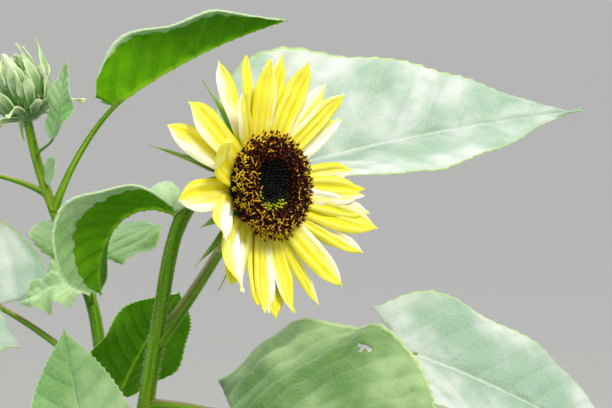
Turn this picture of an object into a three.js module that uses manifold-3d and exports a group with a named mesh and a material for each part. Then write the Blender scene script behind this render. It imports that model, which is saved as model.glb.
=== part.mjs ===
// A branching garden sunflower with one open bloom, standing rooted in level ground.
// Millimetres and degrees, +Z up. The origin is the centre of the main stem where it leaves the
// ground, and the bloom faces the +X and -Y quarter. Each leaf is one solid: a tapering stalk and a
// thin blade.
import * as THREE from 'three';
import Module from 'manifold-3d';
import { mergeVertices } from 'three/addons/utils/BufferGeometryUtils.js';

// Clearance between two pieces that meet
const GAP = 0.3;

// Main stem: it leaves the ground upright, leans towards +X and nods into the bloom. Its axis starts
// below ground level, where the foot is cut flat.
const STEM_POINTS = [
  [0, 0, -6], [0, 0, 130], [14, 3, 420], [38, 2, 720], [63, -8, 960], [78.5, -9, 1060],
  [90.5, -4, 1122],
];
const STEM_FOOT_RADIUS = 11;
const STEM_TOP_RADIUS = 3.3;
const FLARE = 5;
const FLARE_RUN = 0.018;
const STEM_SIDES = 12;
const STEM_STEPS = 32;
const GROUND_BLOCK = [80, 80, 20];

// Bloom: where its face is, the way it looks, and how deep its parts lie behind the face
const BLOOM_CENTRE = [140, -42, 1150];
const BLOOM_HEADING = -42.4;
const BLOOM_PITCH = 8.3;
const NECK_DEPTH = 52;
const RECEPTACLE_DEPTH = 27;
const DISC_RADIUS = 28;
const DISC_PROFILE = [
  [0, -4], [24, -4], [27, -2.6], [DISC_RADIUS, -1], [DISC_RADIUS, 0.8], [26, 2.6], [21, 3.2],
  [15, 2], [9, 0.4], [0, -0.4],
];
const COLLAR_PROFILE = [[20, -7.6], [25, -7.6], [26, -6], [25, -4.3], [20, -4.3], [20, -7.6]];
const RECEPTACLE_PROFILE = [
  [0, -RECEPTACLE_DEPTH], [4.4, -RECEPTACLE_DEPTH], [8, -24.5], [15, -20.5], [23, -15],
  [26, -10], [25.6, -7.9], [0, -7.9],
];

// Each ray: its place round the clock, its lean from there, its lift towards the viewer, its length
// and half width, and the forward bend of its outer part.
const RAY_ROOT = 22.5;
const RAY_DEPTHS = [-5.2, -6.6];
const RAY_THICKNESS = 0.55;
const RAYS = [
  [2, 0, 4, 41, 6.5, 8], [26, -1, 2, 47, 6, 4], [38, -1, 10, 49, 6.5, 6], [46, -6, 2, 51, 6.5, 2],
  [60, 0, 7, 49, 8, 8], [74, -2, 4, 47, 6.5, 6], [86, -3, 8, 42, 8, 8], [95, -1, 4, 44, 5.5, 6],
  [109, 0, 14, 30, 5.5, 10], [110, -5, -2, 45, 5.5, 2], [135, 0, 0, 42, 8, 4],
  [149, -3, -8, 43, 7, 4], [160, -4, 12, 30, 9, 45], [-179, -1, 2, 38, 8.5, 6],
  [-172, 32, 22, 33, 7.5, 10], [-146, 38, 12, 40, 9, 4], [-136, 22, 0, 33, 8.5, 0],
  [-109, 6, 6, 38, 6, 2], [-101, -1, 6, 42, 6.5, 4], [-92, -2, 5, 45, 8, 4],
  [-84, -3, 8, 44, 6.5, 4], [-66, 1, 2, 49, 5, 4], [-54, 0, 8, 48, 7.5, 8], [-36, 2, 10, 52, 5.5, 4],
  [-40, 10, -2, 46, 4.5, 0], [-22, -2, 12, 54, 8, 10], [-15, -4, 11, 48, 6.5, 8],
  [-9, 0, 14, 43, 8, 12],
];

// Each bract under the rays: its place round the clock, its lift, its length, its half width and the
// backward bend of its outer part. Every second one springs from further down the cup.
const BRACT_ROOT = 21;
const BRACT_DEPTHS = [-11, -14];
const BRACT_THICKNESS = 0.6;
const BRACTS = [
  [0, -14, 27, 4, 14], [18, -26, 34, 4, 24], [36, -18, 28, 4.2, 14], [54, -28, 30, 4, 26],
  [71, -8, 26, 4.2, 14], [88, -12, 22, 3, 12], [105, -14, 40, 3.4, 12], [124, -10, 24, 4, 14],
  [138, -16, 22, 4, 20], [152, -14, 40, 2.6, 22], [170, -12, 20, 4, 16], [188, -18, 19, 4, 20],
  [207, -22, 18, 4, 16], [226, -14, 30, 3.4, 12], [238, -30, 19, 4, 20], [250, -14, 34, 2.8, 14],
  [273, -34, 34, 4, 26], [285, -20, 28, 4.2, 14], [309, -24, 31, 4, 26], [332, -16, 28, 4, 14],
];

// Side branch: it leaves the main stem in a leaf's angle, bows out behind and ends in a bud
const BRANCH_POINTS = [
  [62, -5, 925], [52, 50, 965], [39, 92, 1015], [31, 106, 1060], [14, 113, 1100], [0, 118, 1138],
  [-8, 123, 1166],
];
const BRANCH_FOOT_RADIUS = 5;
const BRANCH_TOP_RADIUS = 2.6;
const BRANCH_SIDES = 10;
const BRANCH_STEPS = 15;
const BUD_CENTRE = [-10, 124, 1183];
const BUD_TILT = [-12, -22];
const BUD_PROFILE = [[0, -16], [3, -16], [11, -12], [16, -4], [16, 4], [11, 10], [0, 12]];
const BUD_BRACTS = 16;
const BUD_BRACT_ROOTS = [13, 15];
const BUD_BRACT_LENGTHS = [33, 38];
const BUD_BRACT_HALF = 5.5;

// Leaves: azimuth and rise place the blade's base from the limb's axis at a height, stalk away.
// spring and swing turn the stalk's foot; turn, pitch and roll set the blade. half is the blade's
// half width. droop bends the midrib and fold raises both halves, less so by unfold at the tip.
// heart is 1 where the base is drawn back into two lobes and 0 where it is a wedge; widest is the
// widest place as a share of the length, a larger taper gives a longer point and a larger belly
// keeps the blade broad for longer.
const LEAF_THICKNESS_SHARE = 0.011;
const STALK_SHARE = 0.017;
const LEAF = {
  spring: 15, swing: 0, heart: 1, widest: 0.27, taper: 1.25, belly: 1.6, droop: 20, fold: 20,
  unfold: 0.3, cup: 6, wave: 3, ripples: 2,
};
const STEM_LEAVES = {
  leaf_neck: {
    ...LEAF, height: 1136, azimuth: -119, rise: -14, stalk: 16, turn: -96, pitch: 20, roll: 6,
    length: 82, half: 33, droop: 130, fold: 42, unfold: 0.2, cup: 6, heart: 0.3, widest: 0.45,
  },
  leaf_behind_bloom: {
    ...LEAF, height: 1062, azimuth: 50.7, rise: 38, spring: 7, swing: -25, stalk: 135,
    turn: -47, pitch: 15, roll: 38, length: 176, half: 68, droop: 12, fold: 40, unfold: 0.9,
    cup: 2, widest: 0.16, taper: 1.6, belly: 1.4,
  },
  leaf_front_right: {
    ...LEAF, height: 1029, azimuth: -22, rise: 0, stalk: 51, turn: -28, pitch: 17, roll: 26,
    length: 126, half: 65, droop: 42, fold: 22, widest: 0.35,
  },
  leaf_front_left: {
    ...LEAF, height: 950, azimuth: 225, rise: 40, stalk: 22, turn: -50, pitch: 80, roll: -80,
    length: 108, half: 34, droop: 10, fold: 24, heart: 0.5,
  },
  leaf_right: {
    ...LEAF, height: 955, azimuth: 17.7, rise: 30.5, stalk: 182, turn: -19, pitch: -20, roll: 34,
    length: 140, half: 46, droop: 16, fold: 22,
  },
};
const BRANCH_LEAVES = {
  branch_leaf_high: {
    ...LEAF, height: 1114, azimuth: 14, rise: 60, stalk: 72, turn: -8, pitch: 36, roll: -30,
    length: 116, half: 34, droop: 22, fold: 60, unfold: 0.6, heart: 0.6,
  },
  branch_leaf_bud: {
    ...LEAF, height: 1147, azimuth: -56, rise: 26, stalk: 27, turn: 41, pitch: 75, roll: 65,
    length: 48, half: 12, droop: -8, fold: 40, heart: 0,
  },
  branch_leaf_small: {
    ...LEAF, height: 1127, azimuth: -60, rise: 40, stalk: 5, turn: 40, pitch: 70, roll: 55,
    length: 18, half: 8, droop: -10, fold: 30, cup: 1, wave: 0.5, heart: 0.2, widest: 0.4,
  },
  branch_leaf_outer: {
    ...LEAF, height: 1124, azimuth: 175, rise: 20, stalk: 36, turn: 8, pitch: 10, roll: -25,
    length: 96, half: 32, droop: 30, fold: 16, heart: 0.4,
  },
  branch_leaf_low: {
    ...LEAF, height: 1012, azimuth: 165, rise: 35, stalk: 82, turn: 6, pitch: 24, roll: -46,
    length: 125, half: 50, droop: 26, fold: 18,
  },
  branch_leaf_inner: {
    ...LEAF, height: 1000, azimuth: 0, rise: 60, stalk: 13, turn: 10, pitch: 66, roll: -60,
    length: 72, half: 32, droop: 20, fold: 14, heart: 0.3,
  },
  branch_leaf_curled: {
    ...LEAF, height: 1057, azimuth: 265, rise: 52, stalk: 22, turn: -79, pitch: 10, roll: -35,
    length: 46, half: 19, droop: 70, fold: 24, wave: 6, ripples: 3, heart: 0.6,
  },
  branch_leaf_back: {
    ...LEAF, height: 1060, azimuth: 95, rise: 30, stalk: 45, turn: 0, pitch: 15, roll: 0,
    length: 110, half: 44, droop: 35, fold: 18,
  },
};

// Lower leaves climb the stem by the golden angle and are largest near its middle
const GOLDEN_ANGLE = 137.5;
const LOWER_LEAF_COUNT = 14;
const LOWEST_LEAF = 150;
const LEAF_SPACING = 57;
const FIRST_AZIMUTH = 200;
const LONGEST_LEAF = 230;

const wasm = await Module();
wasm.setup();

const TURN = 2 * Math.PI;
const rad = THREE.MathUtils.degToRad;
const lerp = THREE.MathUtils.lerp;
const vec = (x, y, z) => new THREE.Vector3(x, y, z);
const smoothCurve = (points) => new THREE.CatmullRomCurve3(points, false, 'centripetal');

const finish = (color, roughness) => new THREE.MeshStandardMaterial({ color, roughness, metalness: 0 });
const STEM_GREEN = finish('#6f9a2e', 0.6);
const LEAF_GREEN = finish('#5f9440', 0.55);
const BRACT_GREEN = finish('#5f9a2f', 0.6);
const RAY_YELLOW = finish('#f3e64a', 0.5);
const DISC_BROWN = finish('#3a1c12', 0.8);

// Solids: closed three.js geometry in and out of the boolean library

function solidOf(geometry) {
  geometry.deleteAttribute('normal');
  geometry.deleteAttribute('uv');
  const merged = mergeVertices(geometry, 1e-4);
  const vertProperties = new Float32Array(merged.attributes.position.array);
  const corners = merged.index.array;
  const triVerts = new Uint32Array(corners.length);
  let count = 0;
  for (let i = 0; i < corners.length; i += 3) {
    const [a, b, c] = corners.subarray(i, i + 3);
    if (a === b || b === c || c === a) continue;
    triVerts.set([a, b, c], count);
    count += 3;
  }
  const used = triVerts.subarray(0, count);
  return new wasm.Manifold(new wasm.Mesh({ numProp: 3, vertProperties, triVerts: used }));
}

// The largest closed body of a solid: loose scraps and sealed hollows are left out.
function mainBody(solid) {
  return solid.decompose().reduce((best, body) => (body.volume() > best.volume() ? body : best));
}

function meshOf(name, solid, material) {
  const { vertProperties, triVerts, numProp } = mainBody(solid).getMesh();
  const positions = new Float32Array((vertProperties.length / numProp) * 3);
  for (let i = 0; i < positions.length / 3; i += 1) {
    positions.set(vertProperties.subarray(i * numProp, i * numProp + 3), i * 3);
  }
  const geometry = new THREE.BufferGeometry();
  geometry.setAttribute('position', new THREE.BufferAttribute(positions, 3));
  geometry.setIndex(new THREE.BufferAttribute(new Uint32Array(triVerts), 1));
  const mesh = new THREE.Mesh(geometry, material);
  mesh.name = name;
  return mesh;
}

// Adds a mesh to its parent group, trimmed clear of a limb that is given in the plant's frame.
function addTrimmed(parent, name, solid, material, limbSolid) {
  parent.updateWorldMatrix(true, false);
  const toPlant = parent.matrixWorld;
  const toParent = toPlant.clone().invert();
  const trimmed = solid.transform(toPlant.elements).subtract(limbSolid).transform(toParent.elements);
  parent.add(meshOf(name, trimmed, material));
}

// A closed tapering limb along a curve: a cylinder whose rings are carried along it.
function limbSolid(curve, radiusAt, sides, steps, grow = 0) {
  const geometry = new THREE.CylinderGeometry(1, 1, 1, sides, steps);
  const frames = curve.computeFrenetFrames(steps, false);
  const position = geometry.attributes.position;
  for (let i = 0; i < position.count; i += 1) {
    const ring = Math.round((position.getY(i) + 0.5) * steps);
    const along = frames.tangents[ring];
    const across = frames.normals[ring];
    const radius = radiusAt(ring / steps) + grow;
    const point = curve.getPointAt(ring / steps)
      .addScaledVector(across, position.getX(i) * radius)
      .addScaledVector(across.clone().cross(along), position.getZ(i) * radius);
    position.setXYZ(i, point.x, point.y, point.z);
  }
  return solidOf(geometry);
}

// The point of a limb's axis at a height.
function axisPoint(curve, height) {
  let low = 0;
  let high = 1;
  for (let i = 0; i < 30; i += 1) {
    const middle = (low + high) / 2;
    if (curve.getPointAt(middle).z < height) low = middle;
    else high = middle;
  }
  return curve.getPointAt(low);
}

// Blades: leaves, rays and bracts share one thin bent plate

// The blade's own axes: heading and pitch, then a roll about the midrib.
function bladeAxes(heading, pitch, roll) {
  const along = vec(
    Math.cos(rad(heading)) * Math.cos(rad(pitch)),
    Math.sin(rad(heading)) * Math.cos(rad(pitch)),
    Math.sin(rad(pitch)),
  );
  const across = vec(-Math.sin(rad(heading)), Math.cos(rad(heading)), 0).applyAxisAngle(along, rad(roll));
  return { along, across, up: along.clone().cross(across) };
}

// outline(s, q) gives a point of the flat blade for s from base to tip and q from edge to edge.
// cup lowers the edges and wave ripples them.
function bladeSolid(base, axes, length, half, thick, outline, form, cells) {
  const geometry = new THREE.BoxGeometry(1, 1, 1, cells[0], cells[1], 1);
  const position = geometry.attributes.position;
  const bend = rad(form.droop) / length;
  for (let i = 0; i < position.count; i += 1) {
    const [x, y] = outline(position.getX(i) + 0.5, position.getY(i) * 2, length, half, form);
    const edge = Math.abs(y) / half;
    const angle = bend * x;
    const fold = rad(form.fold) * (1 - form.unfold * (x / length));
    const ripple = form.wave * edge * edge * Math.sin(form.ripples * TURN * (x / length) + Math.sign(y));
    const lift = Math.abs(y) * Math.sin(fold) - form.cup * edge * edge + ripple
      + position.getZ(i) * thick;
    const point = base.clone()
      .addScaledVector(axes.along, bend ? Math.sin(angle) / bend : x)
      .addScaledVector(axes.up, bend ? (Math.cos(angle) - 1) / bend : 0)
      .addScaledVector(axes.across, y * Math.cos(fold))
      .addScaledVector(axes.along, Math.sin(angle) * lift)
      .addScaledVector(axes.up, Math.cos(angle) * lift);
    position.setXYZ(i, point.x, point.y, point.z);
  }
  return solidOf(geometry);
}

// A leaf: its rows run out along the side veins, forwards near the tip.
const WEDGE_FOOT = { share: 0.16, angle: 78 };
const HEART_FOOT = { share: 0.45, angle: 140 };
const TIP_VEIN_ANGLE = 45;
const TIP_SHARE = 0.015;
function leafOutline(s, q, length, half, form) {
  const footShare = lerp(WEDGE_FOOT.share, HEART_FOOT.share, form.heart);
  const footAngle = lerp(WEDGE_FOOT.angle, HEART_FOOT.angle, form.heart);
  const past = (s - form.widest) / (1 - form.widest);
  const share = s < form.widest
    ? footShare + (1 - footShare) * (1 - (1 - s / form.widest) ** 3)
    : Math.max(TIP_SHARE, (1 - past ** form.belly) ** form.taper);
  const angle = rad(lerp(footAngle, TIP_VEIN_ANGLE, Math.sqrt(s)));
  const side = half * share * q;
  return [s * length + Math.abs(side) / Math.tan(angle), side];
}

// A ray or bract: it widens from its foot to `widest` and is drawn to a point.
const POINT_SHARE = 0.06;
function tongueOutline(foot, widest, sharpness) {
  return (s, q, length, half) => {
    const past = (s - widest) / (1 - widest);
    const share = s < widest
      ? lerp(foot, 1, Math.sin((s / widest) * Math.PI / 2))
      : Math.max(POINT_SHARE, 1 - past ** sharpness);
    return [s * length, half * share * q];
  };
}
const rayOutline = tongueOutline(0.75, 0.52, 2.5);
const bractOutline = tongueOutline(0.8, 0.2, 1.05);
const budBractOutline = tongueOutline(0.8, 0.38, 1.6);

// Main stem and side branch

const bloomPlace = vec(...BLOOM_CENTRE);
const bloomAxes = bladeAxes(BLOOM_HEADING, BLOOM_PITCH, 0);
const behindFace = (depth) => bloomPlace.clone().addScaledVector(bloomAxes.along, -depth);
const NECK_SAG = 2;
const stemCurve = smoothCurve([
  ...STEM_POINTS.map((point) => vec(...point)),
  behindFace(NECK_DEPTH).sub(vec(0, 0, NECK_SAG)),
  behindFace(RECEPTACLE_DEPTH + GAP),
]);
const stemRadius = (t) => lerp(STEM_FOOT_RADIUS, STEM_TOP_RADIUS, t) + FLARE * Math.exp(-t / FLARE_RUN);
const stem = (grow) => limbSolid(stemCurve, stemRadius, STEM_SIDES, STEM_STEPS, grow);
const ground = solidOf(new THREE.BoxGeometry(...GROUND_BLOCK).translate(0, 0, -GROUND_BLOCK[2] / 2));

const branchCurve = smoothCurve(BRANCH_POINTS.map((point) => vec(...point)));
const branchRadius = (t) => lerp(BRANCH_FOOT_RADIUS, BRANCH_TOP_RADIUS, t);
const branch = (grow) => limbSolid(branchCurve, branchRadius, BRANCH_SIDES, BRANCH_STEPS, grow);

// Leaves

const STALK_SIDES = 6;
const STALK_STEPS = 4;
function leafSolid(leaf, cells) {
  const end = vec(Math.cos(rad(leaf.rise)), 0, Math.sin(rad(leaf.rise))).multiplyScalar(leaf.stalk);
  const axes = bladeAxes(leaf.turn, leaf.pitch, leaf.roll);
  const springs = bladeAxes(leaf.swing, leaf.rise + leaf.spring, 0).along;
  const curve = new THREE.CubicBezierCurve3(
    vec(0, 0, 0),
    springs.multiplyScalar(leaf.stalk / 3),
    end.clone().addScaledVector(axes.along, -leaf.stalk * 0.15),
    end.clone().addScaledVector(axes.along, leaf.length * 0.06),
  );
  const radius = leaf.length * STALK_SHARE;
  const stalk = limbSolid(curve, (t) => lerp(radius * 1.15, radius * 0.75, t), STALK_SIDES, STALK_STEPS);
  const thick = leaf.length * LEAF_THICKNESS_SHARE;
  return stalk.add(bladeSolid(end, axes, leaf.length, leaf.half, thick, leafOutline, leaf, cells));
}

function addLeaf(plant, name, curve, limb, leaf, cells) {
  const place = new THREE.Group();
  place.position.copy(axisPoint(curve, leaf.height));
  place.rotation.z = rad(leaf.azimuth);
  plant.add(place);
  addTrimmed(place, name, leafSolid(leaf, cells), LEAF_GREEN, limb);
}

function lowerLeaf(i) {
  const climb = i / (LOWER_LEAF_COUNT - 1);
  const length = LONGEST_LEAF * (1 - 0.9 * (climb - 0.42) ** 2);
  return {
    ...LEAF,
    height: LOWEST_LEAF + LEAF_SPACING * i,
    azimuth: FIRST_AZIMUTH + GOLDEN_ANGLE * i,
    rise: lerp(22, 38, climb),
    stalk: length * 0.5,
    turn: 6 * Math.sin(2.4 * i),
    pitch: lerp(-6, 14, climb),
    roll: 7 * Math.sin(1.7 * i),
    length,
    half: length * 0.41,
    droop: lerp(52, 34, climb),
    wave: 4,
  };
}

// Bloom and bud: profiles turned about their own axis, and tongues set round it

function turnedSolid(profile, sides) {
  const geometry = new THREE.LatheGeometry(profile.map(([r, h]) => new THREE.Vector2(r, h)), sides);
  geometry.rotateX(Math.PI / 2);
  return solidOf(geometry);
}

// A tongue set round the axis at a clock angle, a radius and a height.
function tongueAt(clock, lean, lift, radius, height, length, half, thick, outline, form, cells) {
  const base = vec(radius * Math.cos(rad(clock)), radius * Math.sin(rad(clock)), height);
  const axes = bladeAxes(clock + lean, lift, 0);
  return bladeSolid(base, axes, length, half, thick, outline, form, cells);
}

const TONGUE = { droop: 0, fold: 10, unfold: 0, cup: 0, wave: 0, ripples: 1 };
const RAY_CELLS = [5, 2];
const BRACT_CELLS = [4, 2];

function raySolid([clock, lean, lift, length, half, bend], i) {
  const form = { ...TONGUE, droop: -bend, cup: 0.4 };
  const depth = RAY_DEPTHS[i % 2];
  return tongueAt(
    clock, lean, lift, RAY_ROOT, depth, length, half, RAY_THICKNESS, rayOutline, form, RAY_CELLS,
  );
}

function bractSolid([clock, lift, length, half, bend], i) {
  const form = { ...TONGUE, droop: bend, fold: 14 };
  return tongueAt(
    clock, 0, lift, BRACT_ROOT, BRACT_DEPTHS[i % 2], length, half, BRACT_THICKNESS,
    bractOutline, form, BRACT_CELLS,
  );
}

function bloom() {
  const group = new THREE.Group();
  group.position.copy(bloomPlace);
  const { along, across, up } = bloomAxes;
  group.quaternion.setFromRotationMatrix(new THREE.Matrix4().makeBasis(across, up, along));
  const discGrown = turnedSolid([[0, -4.3], [24.5, -4.3], [28.3, -2.6], [28.3, 6], [0, 6]], 32);
  const cupGrown = turnedSolid([[0, -28], [4.7, -27.4], [26.3, -10], [26, -7.6], [0, -7.6]], 24);
  const rays = RAYS.map(raySolid).reduce((all, ray) => all.add(ray), turnedSolid(COLLAR_PROFILE, 24));
  const bracts = BRACTS.map(bractSolid);
  const cup = bracts.reduce((all, bract) => all.add(bract), turnedSolid(RECEPTACLE_PROFILE, 24));
  group.add(meshOf('flower_disc', turnedSolid(DISC_PROFILE, 32), DISC_BROWN));
  group.add(meshOf('flower_rays', rays.subtract(discGrown).subtract(cupGrown), RAY_YELLOW));
  group.add(meshOf('flower_receptacle', cup.subtract(rays), BRACT_GREEN));
  return group;
}

// Every second bract is an outer one, rooted wider and longer; all curl in over the bud.
function budBract(i) {
  const clock = (360 / BUD_BRACTS) * i + 6 * Math.sin(2.7 * i);
  const lift = 74 + 10 * Math.sin(2.1 * i);
  const form = { ...TONGUE, droop: -46 - 16 * Math.sin(1.7 * i), fold: 12 };
  return tongueAt(
    clock, 0, lift, BUD_BRACT_ROOTS[i % 2], -8, BUD_BRACT_LENGTHS[i % 2], BUD_BRACT_HALF,
    BRACT_THICKNESS, budBractOutline, form, BRACT_CELLS,
  );
}

function addBud(plant, limb) {
  const group = new THREE.Group();
  group.position.set(...BUD_CENTRE);
  group.rotation.set(rad(BUD_TILT[0]), rad(BUD_TILT[1]), 0);
  plant.add(group);
  const bracts = Array.from({ length: BUD_BRACTS }, (_, i) => budBract(i));
  const solid = bracts.reduce((all, bract) => all.add(bract), turnedSolid(BUD_PROFILE, 16));
  addTrimmed(group, 'bud', solid, BRACT_GREEN, limb);
}

// The whole plant

const stemGrown = stem(GAP);
const branchGrown = branch(GAP);
const plant = new THREE.Group();
plant.add(meshOf('stem', stem(0).subtract(ground), STEM_GREEN));
plant.add(meshOf('side_branch', branch(0).subtract(stemGrown), STEM_GREEN));
plant.add(bloom());
addBud(plant, branchGrown);
for (const [name, leaf] of Object.entries(STEM_LEAVES)) {
  addLeaf(plant, name, stemCurve, stemGrown, leaf, [8, 6]);
}
for (const [name, leaf] of Object.entries(BRANCH_LEAVES)) {
  addLeaf(plant, name, branchCurve, branchGrown, leaf, [8, 4]);
}
for (let i = 0; i < LOWER_LEAF_COUNT; i += 1) {
  const name = `stem_leaf_${String(i + 1).padStart(2, '0')}`;
  addLeaf(plant, name, stemCurve, stemGrown, lowerLeaf(i), [6, 4]);
}

export default plant;
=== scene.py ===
import math
import random

import bmesh
import bpy
import numpy as np
from mathutils import Matrix, Vector, noise


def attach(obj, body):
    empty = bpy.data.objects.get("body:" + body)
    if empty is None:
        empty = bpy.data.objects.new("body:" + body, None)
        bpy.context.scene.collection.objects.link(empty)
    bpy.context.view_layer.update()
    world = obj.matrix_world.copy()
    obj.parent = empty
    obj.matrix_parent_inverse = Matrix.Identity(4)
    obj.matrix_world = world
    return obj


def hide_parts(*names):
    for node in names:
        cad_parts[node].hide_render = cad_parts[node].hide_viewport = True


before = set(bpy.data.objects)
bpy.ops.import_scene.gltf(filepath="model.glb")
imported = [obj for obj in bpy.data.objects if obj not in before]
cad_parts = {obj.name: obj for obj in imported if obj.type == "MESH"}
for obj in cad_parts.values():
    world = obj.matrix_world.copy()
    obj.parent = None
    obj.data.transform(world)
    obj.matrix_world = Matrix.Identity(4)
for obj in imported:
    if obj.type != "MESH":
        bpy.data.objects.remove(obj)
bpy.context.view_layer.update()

# Camera. It looks along +Y and 8 degrees down, as the photograph does, from 850 mm in front of the
# bloom, through a long lens that shows half a millimetre a pixel there.
MM = 0.001
VIEW_TARGET = (158, -43.3, 1141.1)
VIEW_DISTANCE = 850
VIEW_FALL = math.radians(8)
camera = bpy.data.objects.new("camera", bpy.data.cameras.new("camera"))
camera.data.lens = 100
camera.data.sensor_width = 36
view_direction = Vector((0, math.cos(VIEW_FALL), -math.sin(VIEW_FALL)))
camera.location = (Vector(VIEW_TARGET) - view_direction * VIEW_DISTANCE) * MM
camera.rotation_euler = (math.pi / 2 - VIEW_FALL, 0, 0)
bpy.context.collection.objects.link(camera)
bpy.context.scene.camera = camera
bpy.context.scene.view_settings.view_transform = "Standard"

# Main stem. One juicy, ribbed stem as thick as a thumb at the ground, where it flares, and as a
# pencil at the neck. It leans towards +X, swells under each leaf and nods into the bloom.
STEM_POINTS = [
    (0, 0, -6), (0, 0, 130), (14, 3, 420), (38, 2, 720), (63, -8, 960), (78.5, -9, 1060),
    (90.5, -4, 1122),
]
STEM_FOOT_RADIUS = 11
STEM_TOP_RADIUS = 3.3
FLARE = 5
FLARE_RUN = 0.018
BLOOM_CENTRE = np.array((140, -42, 1150))
BLOOM_HEADING = -42.4
BLOOM_PITCH = 8.3
NECK_DEPTH = 52
NECK_SAG = 2
RECEPTACLE_DEPTH = 27
RIBS = 11
RIB_RISE = 0.02


def lerp(a, b, share):
    return a + (b - a) * share


def cos_sin(degrees):
    return math.cos(math.radians(degrees)), math.sin(math.radians(degrees))


def blade_axes(heading, pitch, roll):
    """A blade's own axes, along, across and up: heading and pitch, then a roll about the midrib."""
    (east, north), (level, rising) = cos_sin(heading), cos_sin(pitch)
    along = Vector((east * level, north * level, rising))
    across = Matrix.Rotation(math.radians(roll), 3, along) @ Vector((-north, east, 0))
    return np.array(along), np.array(across), np.array(along.cross(across))


def evenly(points, count=301):
    """count evenly spaced points along a line of many points."""
    walked = np.append(0, np.cumsum(np.linalg.norm(np.diff(points, axis=0), axis=1)))
    at = np.linspace(0, walked[-1], count)
    return np.stack([np.interp(at, walked, column) for column in points.T], axis=1)


def smooth_axis(points):
    """The centripetal Catmull-Rom curve through the points."""
    p = np.array(points, float)
    p = np.vstack([2 * p[0] - p[1], p, 2 * p[-1] - p[-2]])
    t = np.linspace(0, 1, 60)[:, None]
    stretches = []
    for a, b, c, d in zip(p, p[1:], p[2:], p[3:]):
        k, m, n = (math.sqrt(np.linalg.norm(step)) for step in (b - a, c - b, d - c))
        leave = m * ((b - a) / k - (c - a) / (k + m) + (c - b) / m)
        arrive = m * ((c - b) / m - (d - b) / (m + n) + (d - c) / n)
        square = 3 * (c - b) - 2 * leave - arrive
        cube = 2 * (b - c) + leave + arrive
        stretches.append(b + leave * t + square * t**2 + cube * t**3)
    return evenly(np.vstack(stretches))


def along_table(table, share):
    """The rows of a table read at shares of its length."""
    rows = np.linspace(0, 1, len(table))
    return np.stack([np.interp(share, rows, column) for column in table.T], axis=1)


def axis_frames(axis):
    """Tangents of an axis, and two vectors across it that turn with it and never twist."""
    tangents = np.gradient(axis, axis=0)
    tangents /= np.linalg.norm(tangents, axis=1)[:, None]
    side = np.cross(tangents[0], (0.3, 1, 0.2))
    sides = []
    for tangent in tangents:
        side = side - tangent * (side @ tangent)
        side = side / np.linalg.norm(side)
        sides.append(side)
    return tangents, np.array(sides), np.cross(tangents, sides)


def add_cylinder(bm, sides, rings):
    """Adds a capped cylinder of unit radius and height with evenly spaced rings."""
    made = bmesh.ops.create_cone(
        bm, cap_ends=True, segments=sides, radius1=1, radius2=1, depth=1
    )
    edges = {e for v in made["verts"] for e in v.link_edges}
    upright = [e for e in edges if abs(e.verts[0].co.z - e.verts[1].co.z) > 0.5]
    bmesh.ops.subdivide_edges(bm, edges=upright, cuts=rings - 1, use_grid_fill=True)


def limb_places(unit, axis, radius_at):
    """Carries a unit cylinder's points onto a limb. Gives the places, the straightened limb's own
    coordinates and the outward directions. radius_at takes the share, the angle and the outward."""
    share = unit[:, 2] + 0.5
    angle = np.arctan2(unit[:, 1], unit[:, 0])
    _, side, other = axis_frames(axis)
    outward = np.cos(angle)[:, None] * along_table(side, share)
    outward += np.sin(angle)[:, None] * along_table(other, share)
    radius = np.hypot(unit[:, 0], unit[:, 1]) * radius_at(share, angle, outward)
    places = along_table(axis, share) + outward * radius[:, None]
    length = np.linalg.norm(np.diff(axis, axis=0), axis=1).sum()
    straight = np.stack([np.cos(angle) * radius, np.sin(angle) * radius, share * length], axis=1)
    return places, straight, outward


def mesh_of(name, bm):
    mesh = bpy.data.meshes.new(name)
    bm.to_mesh(mesh)
    bm.free()
    return mesh


def points_of(mesh):
    points = np.empty(len(mesh.vertices) * 3, np.float32)
    mesh.vertices.foreach_get("co", points)
    return points.reshape(-1, 3).astype(float)


def mark(mesh, name, values):
    """Stores a number or a vector at each vertex for the material to read."""
    kind, field = ("FLOAT", "value") if values.ndim == 1 else ("FLOAT_VECTOR", "vector")
    attribute = mesh.attributes.new(name, kind, "POINT")
    attribute.data.foreach_set(field, values.astype(np.float32).ravel())


def piece(mesh, places, *materials):
    """The finished object: vertices at their places in metres, faces smooth and pointing out."""
    mesh.vertices.foreach_set("co", (places * MM).astype(np.float32).ravel())
    bm = bmesh.new()
    bm.from_mesh(mesh)
    bmesh.ops.recalc_face_normals(bm, faces=bm.faces[:])
    bm.to_mesh(mesh)
    bm.free()
    mesh.shade_smooth()
    for material in materials:
        mesh.materials.append(material)
    made = bpy.data.objects.new(mesh.name, mesh)
    bpy.context.collection.objects.link(made)
    return made


def linear(hex_colour):
    """An sRGB hex colour as linear RGBA."""
    values = [int(hex_colour[i:i + 2], 16) / 255 for i in (1, 3, 5)]
    return [v / 12.92 if v <= 0.04045 else ((v + 0.055) / 1.055) ** 2.4 for v in values] + [1]


def add_node(tree, kind, settings, inputs):
    """Adds a node, sets its options, and gives each input a value or a link from a socket."""
    node = tree.nodes.new(kind)
    for option, value in settings.items():
        setattr(node, option, value)
    for key, value in inputs.items():
        if isinstance(value, bpy.types.NodeSocket):
            tree.links.new(value, node.inputs[key])
        else:
            node.inputs[key].default_value = value
    return node


def new_material(name, **plain):
    """A material and its Principled shader, with plain values set on the shader's own sockets."""
    material = bpy.data.materials.new(name)
    material.use_nodes = True
    shader = material.node_tree.nodes["Principled BSDF"]
    for socket, value in plain.items():
        shader.inputs[socket.replace("_", " ")].default_value = value
    return material, material.node_tree, shader


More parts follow.
